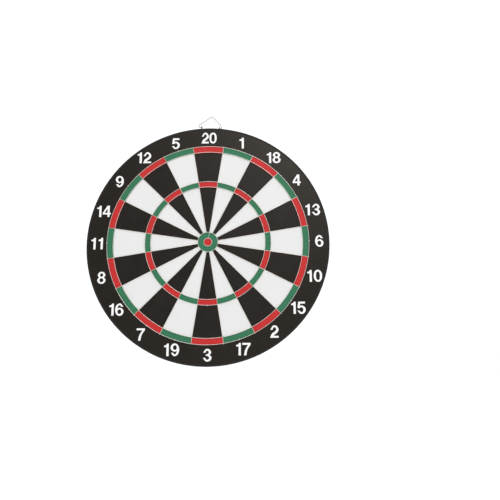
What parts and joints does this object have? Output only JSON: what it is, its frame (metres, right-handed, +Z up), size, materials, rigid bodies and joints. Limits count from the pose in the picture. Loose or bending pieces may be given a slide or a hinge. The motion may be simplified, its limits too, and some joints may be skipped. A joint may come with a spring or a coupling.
{
  "type": "dartboard",
  "caption": "Round wound-paper dartboard with a printed numbered face, a stapled wire spider and a swinging wire hanger on the rim.",
  "frame": {"origin": "centre of the flat rear face, on the wall plane", "axes": "+Z up through the 20, -Y the way the playing face looks, +X to the player's right"},
  "size_m": [0.41, 0.023, 0.4368],
  "materials": {
    "wound_paper": "matt wound kraft paper edges",
    "plug_wood": "bare dowel",
    "printed_sheet": "matt printed black with white, red and green panels",
    "backing_paper": "matt kraft backing paper",
    "edge_tape": "black satin cloth tape",
    "spider_wire": "galvanised wire",
    "staple_wire": "galvanised staple wire",
    "hanger_wire": "galvanised wire"
  },
  "bodies": {
    "board": {"paper_coil_core": "wound_paper", "centre_plug": "plug_wood", "front_sheet": "printed_sheet", "rear_sheet": "backing_paper", "edge_band": "edge_tape", "hanger_eye_left": "hanger_wire", "hanger_eye_right": "hanger_wire", "double_outer_ring": "spider_wire", "double_inner_ring": "spider_wire", "treble_outer_ring": "spider_wire", "treble_inner_ring": "spider_wire", "outer_bull_ring": "spider_wire", "inner_bull_ring": "spider_wire", "radial_wire_20_1": "spider_wire", "radial_wire_1_18": "spider_wire", "radial_wire_18_4": "spider_wire", "radial_wire_4_13": "spider_wire", "radial_wire_13_6": "spider_wire", "radial_wire_6_10": "spider_wire", "radial_wire_10_15": "spider_wire", "radial_wire_15_2": "spider_wire", "radial_wire_2_17": "spider_wire", "radial_wire_17_3": "spider_wire", "radial_wire_3_19": "spider_wire", "radial_wire_19_7": "spider_wire", "radial_wire_7_16": "spider_wire", "radial_wire_16_8": "spider_wire", "radial_wire_8_11": "spider_wire", "radial_wire_11_14": "spider_wire", "radial_wire_14_9": "spider_wire", "radial_wire_9_12": "spider_wire", "radial_wire_12_5": "spider_wire", "radial_wire_5_20": "spider_wire", "double_staple_1": "staple_wire", "double_staple_4": "staple_wire", "double_staple_6": "staple_wire", "double_staple_15": "staple_wire", "double_staple_17": "staple_wire", "double_staple_19": "staple_wire", "double_staple_16": "staple_wire", "double_staple_11": "staple_wire", "double_staple_9": "staple_wire", "double_staple_5": "staple_wire", "treble_staple_20": "staple_wire", "treble_staple_6": "staple_wire", "treble_staple_3": "staple_wire", "treble_staple_11": "staple_wire", "bull_staple_top": "staple_wire", "bull_staple_bottom": "staple_wire"},
    "hanger": {"hanger_bail": "hanger_wire"}
  },
  "joints": [
    {"name": "bail_swing", "type": "hinge", "parent": "board", "child": "hanger", "pos_m": [0, -0.01, 0.2102], "axis": [0.9955, 0, -0.0944], "range_deg": [-105, 105]}
  ]
}
